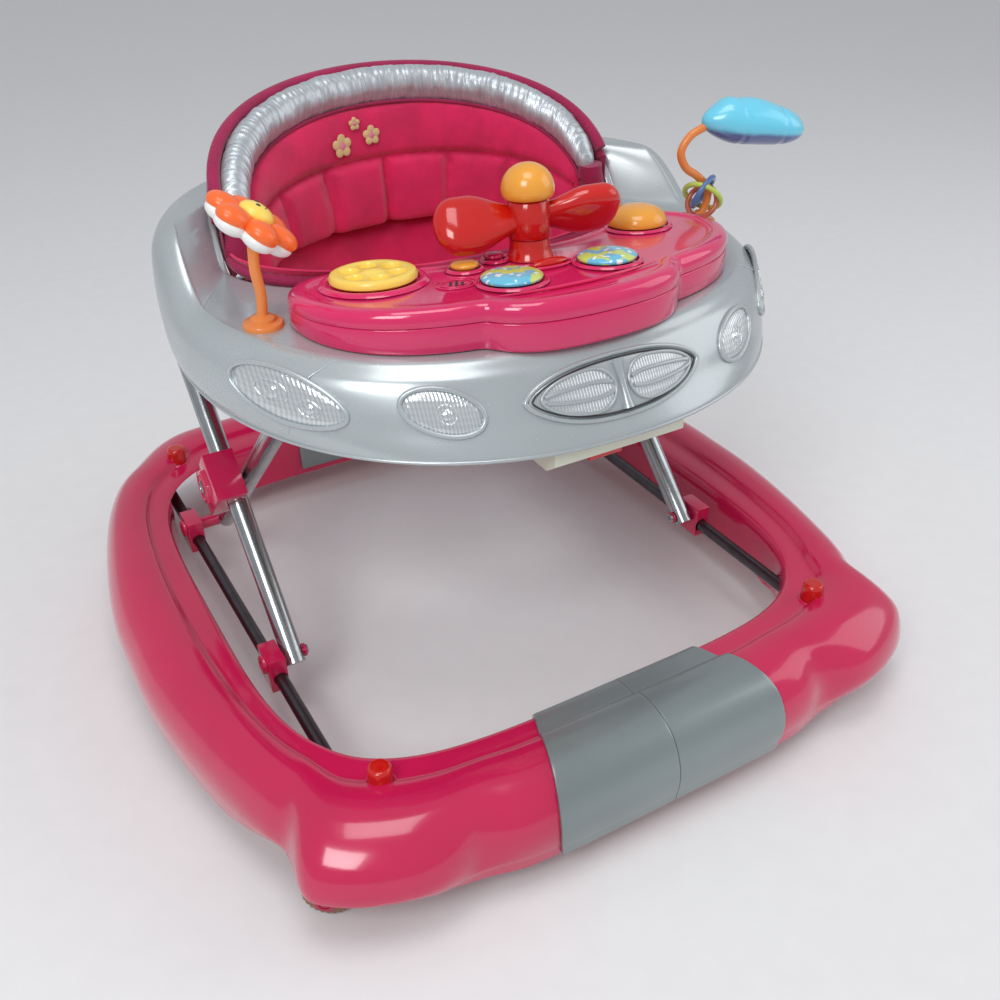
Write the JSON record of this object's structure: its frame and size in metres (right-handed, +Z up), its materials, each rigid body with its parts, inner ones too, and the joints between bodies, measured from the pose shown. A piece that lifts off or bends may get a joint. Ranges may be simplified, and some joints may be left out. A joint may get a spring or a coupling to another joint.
{
  "type": "baby walker",
  "caption": "Baby walker: a moulded base ring on swivel castors, a folding scissor frame, and a play tray with toys around a padded fabric seat.",
  "frame": {"origin": "on the floor under the middle of the base ring", "axes": "+Z up, -Y is the front, +X is on the right as seen from the front, which is the seated child's left"},
  "size_m": [0.69, 0.7146, 0.5032],
  "materials": {
    "pink_plastic": "glossy moulded",
    "silver_plastic": "pearlescent silver",
    "red_plastic": "glossy translucent red",
    "clear_rubber": "clear soft rubber",
    "brown_roller": "ribbed translucent brown",
    "steel_tube": "satin chrome",
    "dark_rail": "dark grey paint",
    "dark_plastic": "matte",
    "cream_plastic": "matte moulded",
    "clear_lens": "clear ribbed lens over silver",
    "toy_pink_plastic": "glossy moulded",
    "yellow_plastic": "satin moulded",
    "amber_plastic": "glossy translucent amber",
    "blue_plastic": "satin moulded",
    "orange_plastic": "soft moulded",
    "green_plastic": "satin moulded",
    "seat_fabric": "woven polyester",
    "silver_satin": "shiny satin"
  },
  "bodies": {
    "base": {"base_left": "pink_plastic", "base_right": "pink_plastic", "front_cover_left": "silver_plastic", "front_cover_right": "silver_plastic", "rear_cover": "silver_plastic", "side_rail_left": "dark_rail", "side_rail_right": "dark_rail", "front_bracket_left": "pink_plastic", "front_bracket_right": "pink_plastic"},
    "stopper_front_left": {"stopper_knob_front_left": "red_plastic", "stopper_foot_front_left": "clear_rubber"},
    "castor_front_left": {"castor_fork_front_left": "pink_plastic"},
    "wheel_front_left": {"castor_wheel_front_left": "brown_roller"},
    "stopper_rear_left": {"stopper_knob_rear_left": "red_plastic", "stopper_foot_rear_left": "clear_rubber"},
    "castor_rear_left": {"castor_fork_rear_left": "pink_plastic"},
    "wheel_rear_left": {"castor_wheel_rear_left": "brown_roller"},
    "stopper_front_right": {"stopper_knob_front_right": "red_plastic", "stopper_foot_front_right": "clear_rubber"},
    "castor_front_right": {"castor_fork_front_right": "pink_plastic"},
    "wheel_front_right": {"castor_wheel_front_right": "brown_roller"},
    "stopper_rear_right": {"stopper_knob_rear_right": "red_plastic", "stopper_foot_rear_right": "clear_rubber"},
    "castor_rear_right": {"castor_fork_rear_right": "pink_plastic"},
    "wheel_rear_right": {"castor_wheel_rear_right": "brown_roller"},
    "outer_arms": {"outer_arm": "steel_tube", "pivot_block_left": "pink_plastic", "pivot_block_right": "pink_plastic"},
    "inner_arms": {"inner_arm": "steel_tube"},
    "slider_left": {"rear_slider_left": "pink_plastic"},
    "slider_right": {"rear_slider_right": "pink_plastic"},
    "tray": {"tray_shell": "silver_plastic", "rear_cradle": "dark_plastic", "adjuster_box": "cream_plastic", "headlight_left": "clear_lens", "headlight_right": "clear_lens", "side_lamp_left": "clear_lens", "side_lamp_right": "clear_lens", "grille": "silver_plastic", "toy_tray_base": "toy_pink_plastic", "toy_tray_top": "toy_pink_plastic", "red_light": "red_plastic", "spinner_pillar": "red_plastic", "spinner_dome": "amber_plastic", "flower_stalk": "orange_plastic", "seat_backrest": "seat_fabric", "seat_bolster": "silver_satin", "seat_pouch": "seat_fabric"},
    "amber_button": {"amber_button": "amber_plastic"},
    "picture_button_left": {"picture_button_left": "blue_plastic"},
    "picture_button_right": {"picture_button_right": "blue_plastic"},
    "yellow_button": {"yellow_button": "yellow_plastic"},
    "pink_button": {"pink_button": "toy_pink_plastic"},
    "finger_dial": {"finger_dial": "yellow_plastic"},
    "spinner": {"spinner_rotor": "red_plastic"},
    "flower": {"flower_head": "orange_plastic"},
    "bird": {"bird_stalk": "orange_plastic", "bird_body": "blue_plastic", "toy_ring": "green_plastic"},
    "catch": {"adjuster_catch": "red_plastic"}
  },
  "joints": [
    {"name": "stopper_press_front_left", "type": "slide", "parent": "base", "child": "stopper_front_left", "axis": [0, 0, -1], "range_m": [0, 0.011]},
    {"name": "castor_swivel_front_left", "type": "hinge", "parent": "base", "child": "castor_front_left", "pos_m": [-0.267, -0.291, 0.05], "axis": [0, 0, 1], "continuous": true},
    {"name": "wheel_spin_front_left", "type": "hinge", "parent": "castor_front_left", "child": "wheel_front_left", "pos_m": [-0.27419, -0.28558, 0.02], "axis": [-0.6018, -0.7986, 0], "continuous": true},
    {"name": "stopper_press_rear_left", "type": "slide", "parent": "base", "child": "stopper_rear_left", "axis": [0, 0, -1], "range_m": [0, 0.011]},
    {"name": "castor_swivel_rear_left", "type": "hinge", "parent": "base", "child": "castor_rear_left", "pos_m": [-0.258, 0.268, 0.05], "axis": [0, 0, 1], "continuous": true},
    {"name": "wheel_spin_rear_left", "type": "hinge", "parent": "castor_rear_left", "child": "wheel_rear_left", "pos_m": [-0.26519, 0.27342, 0.02], "axis": [-0.6018, -0.7986, 0], "continuous": true},
    {"name": "stopper_press_front_right", "type": "slide", "parent": "base", "child": "stopper_front_right", "axis": [0, 0, -1], "range_m": [0, 0.011]},
    {"name": "castor_swivel_front_right", "type": "hinge", "parent": "base", "child": "castor_front_right", "pos_m": [0.267, -0.291, 0.05], "axis": [0, 0, 1], "continuous": true},
    {"name": "wheel_spin_front_right", "type": "hinge", "parent": "castor_front_right", "child": "wheel_front_right", "pos_m": [0.27419, -0.28558, 0.02], "axis": [-0.6018, 0.7986, 0], "continuous": true},
    {"name": "stopper_press_rear_right", "type": "slide", "parent": "base", "child": "stopper_rear_right", "axis": [0, 0, -1], "range_m": [0, 0.011]},
    {"name": "castor_swivel_rear_right", "type": "hinge", "parent": "base", "child": "castor_rear_right", "pos_m": [0.258, 0.268, 0.05], "axis": [0, 0, 1], "continuous": true},
    {"name": "wheel_spin_rear_right", "type": "hinge", "parent": "castor_rear_right", "child": "wheel_rear_right", "pos_m": [0.26519, 0.27342, 0.02], "axis": [-0.6018, 0.7986, 0], "continuous": true},
    {"name": "frame_fold", "type": "hinge", "parent": "base", "child": "outer_arms", "pos_m": [0, -0.08, 0.074], "axis": [1, 0, 0], "range_deg": [-35, 0]},
    {"name": "scissor_pivot", "type": "hinge", "parent": "outer_arms", "child": "inner_arms", "pos_m": [0, 0.04085, 0.1907], "axis": [1, 0, 0], "range_deg": [0, 70]},
    {"name": "slider_pivot_left", "type": "hinge", "parent": "inner_arms", "child": "slider_left", "pos_m": [0, 0.1617, 0.074], "axis": [1, 0, 0], "range_deg": [-35, 0]},
    {"name": "slider_pivot_right", "type": "hinge", "parent": "inner_arms", "child": "slider_right", "pos_m": [0, 0.1617, 0.074], "axis": [1, 0, 0], "range_deg": [-35, 0]},
    {"name": "tray_level", "type": "hinge", "parent": "outer_arms", "child": "tray", "pos_m": [0, 0.17177, 0.31713], "axis": [1, 0, 0], "range_deg": [0, 35]},
    {"name": "amber_press", "type": "slide", "parent": "tray", "child": "amber_button", "axis": [0, -0.1045, -0.9945], "range_m": [0, 0.002], "stiffness_N_per_m": 400},
    {"name": "picture_press_left", "type": "slide", "parent": "tray", "child": "picture_button_left", "axis": [0, -0.1045, -0.9945], "range_m": [0, 0.002], "stiffness_N_per_m": 400},
    {"name": "picture_press_right", "type": "slide", "parent": "tray", "child": "picture_button_right", "axis": [0, -0.1045, -0.9945], "range_m": [0, 0.002], "stiffness_N_per_m": 400},
    {"name": "yellow_press", "type": "slide", "parent": "tray", "child": "yellow_button", "axis": [0, -0.1045, -0.9945], "range_m": [0, 0.002], "stiffness_N_per_m": 400},
    {"name": "pink_press", "type": "slide", "parent": "tray", "child": "pink_button", "axis": [0, -0.1045, -0.9945], "range_m": [0, 0.002], "stiffness_N_per_m": 400},
    {"name": "dial_spin", "type": "hinge", "parent": "tray", "child": "finger_dial", "pos_m": [-0.122, -0.09582, 0.41338], "axis": [0, 0.1045, 0.9945], "continuous": true},
    {"name": "spinner_spin", "type": "hinge", "parent": "tray", "child": "spinner", "pos_m": [0.003, -0.11101, 0.44112], "axis": [0, 0.1045, 0.9945], "continuous": true},
    {"name": "flower_swivel", "type": "hinge", "parent": "tray", "child": "flower", "pos_m": [-0.204, -0.079, 0.43], "axis": [0, 0, 1], "continuous": true},
    {"name": "bird_swivel", "type": "hinge", "parent": "tray", "child": "bird", "pos_m": [0.219, -0.058, 0.39], "axis": [0, 0, 1], "range_deg": [-45, 45]},
    {"name": "height_catch", "type": "slide", "parent": "tray", "child": "catch", "axis": [0, 1, 0], "range_m": [0, 0.006], "stiffness_N_per_m": 300}
  ],
  "couplings": [
    {"joint": "scissor_pivot", "follows": "frame_fold", "ratio": -2},
    {"joint": "slider_pivot_left", "follows": "frame_fold", "ratio": 1},
    {"joint": "slider_pivot_right", "follows": "frame_fold", "ratio": 1},
    {"joint": "tray_level", "follows": "frame_fold", "ratio": -1}
  ]
}
